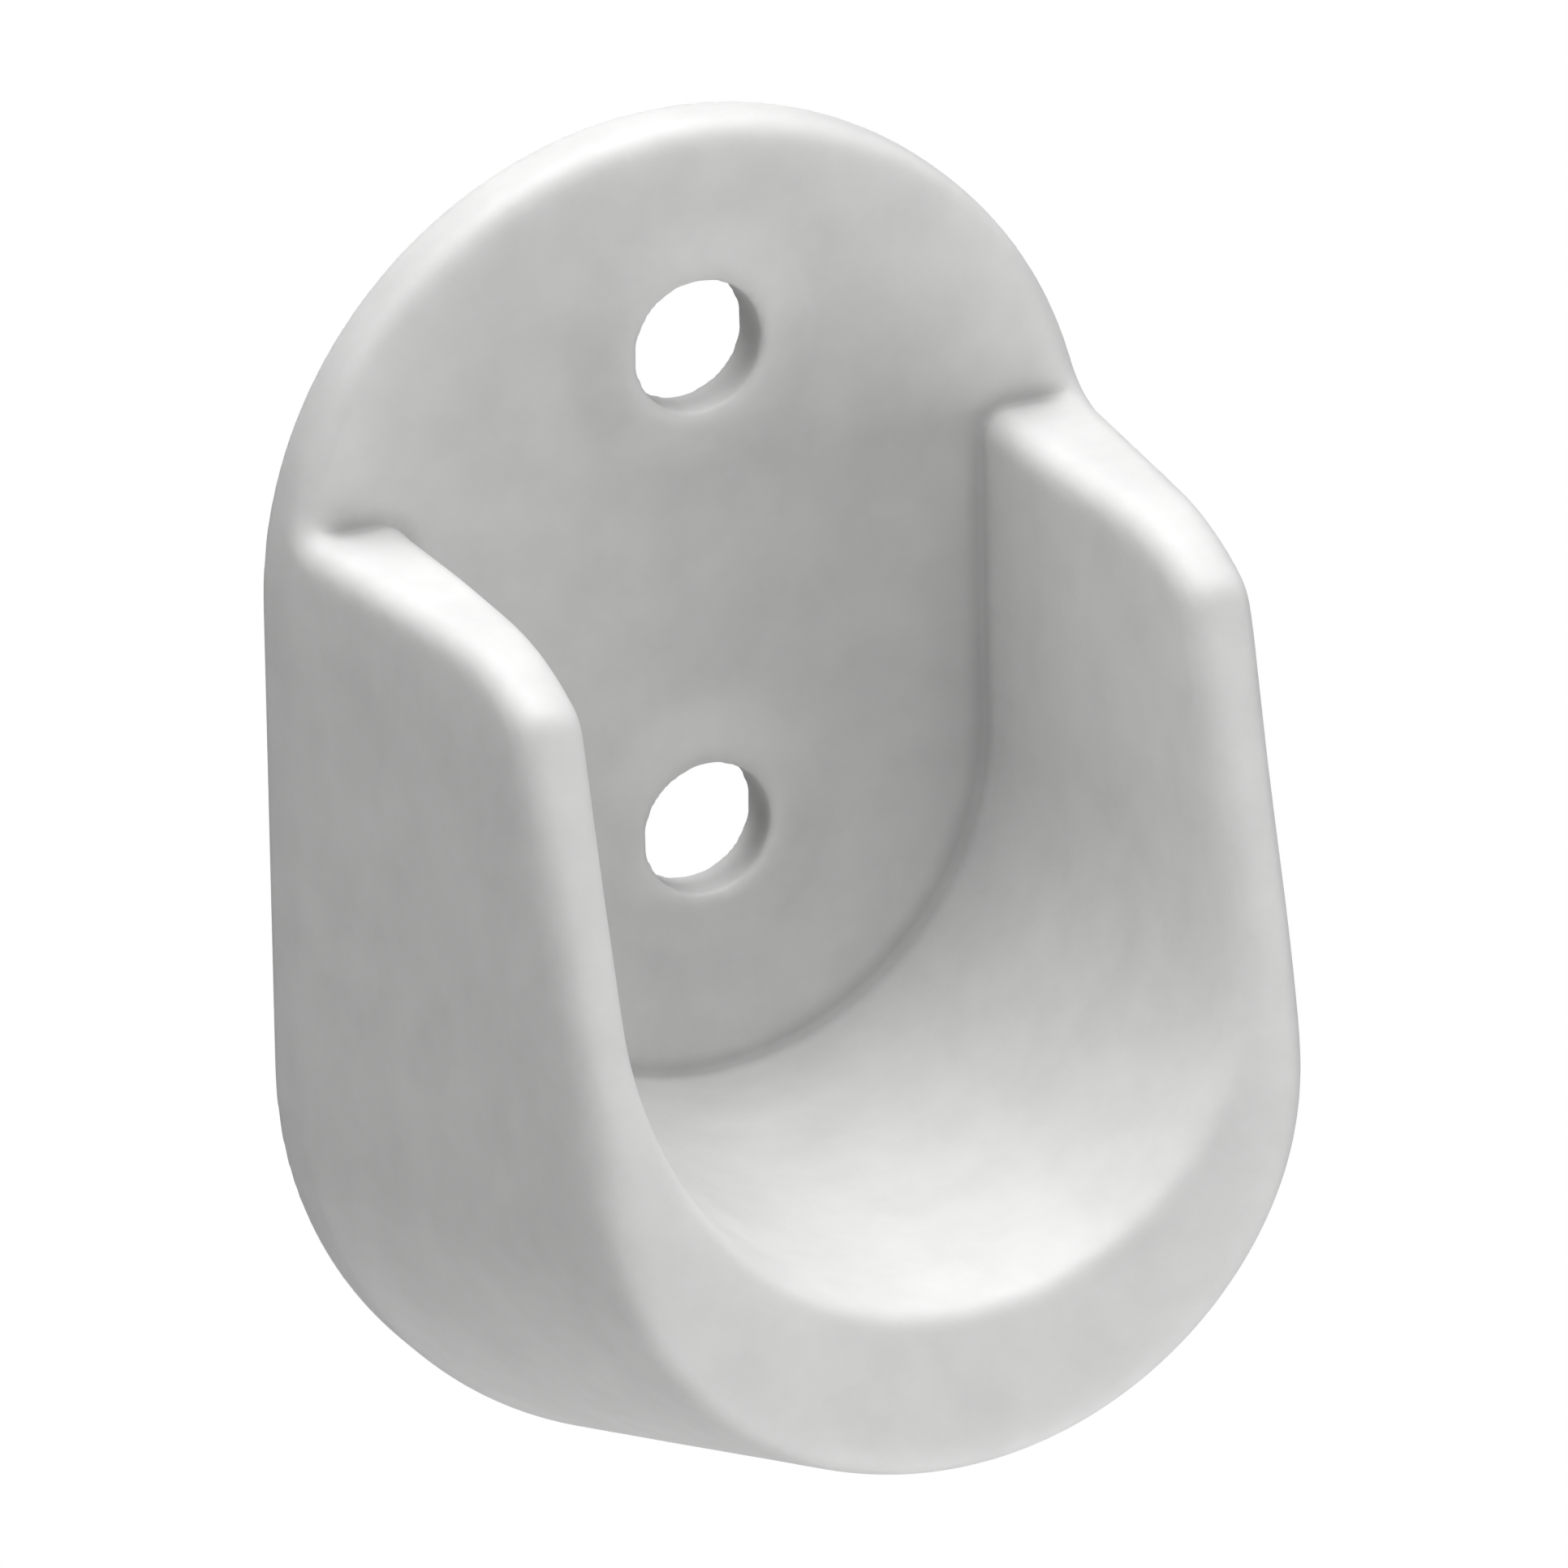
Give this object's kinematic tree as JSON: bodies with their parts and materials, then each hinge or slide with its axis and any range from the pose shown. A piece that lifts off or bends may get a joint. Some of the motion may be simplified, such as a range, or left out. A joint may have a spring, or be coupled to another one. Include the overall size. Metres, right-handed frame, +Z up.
{
  "type": "wardrobe rail end bracket",
  "caption": "Wall-mounted open-topped U-shaped bracket that holds the end of a wardrobe rail, moulded with its back plate and screw holes.",
  "frame": {"origin": "on the wall plane, midway between the axes of the two screw holes", "axes": "+Y into the wall, +Z up, +X to the right of someone facing the wall"},
  "size_m": [0.0358, 0.0275, 0.0561],
  "materials": {
    "white_plastic": "satin"
  },
  "bodies": {
    "root": {"bracket_body": "white_plastic"}
  },
  "joints": []
}
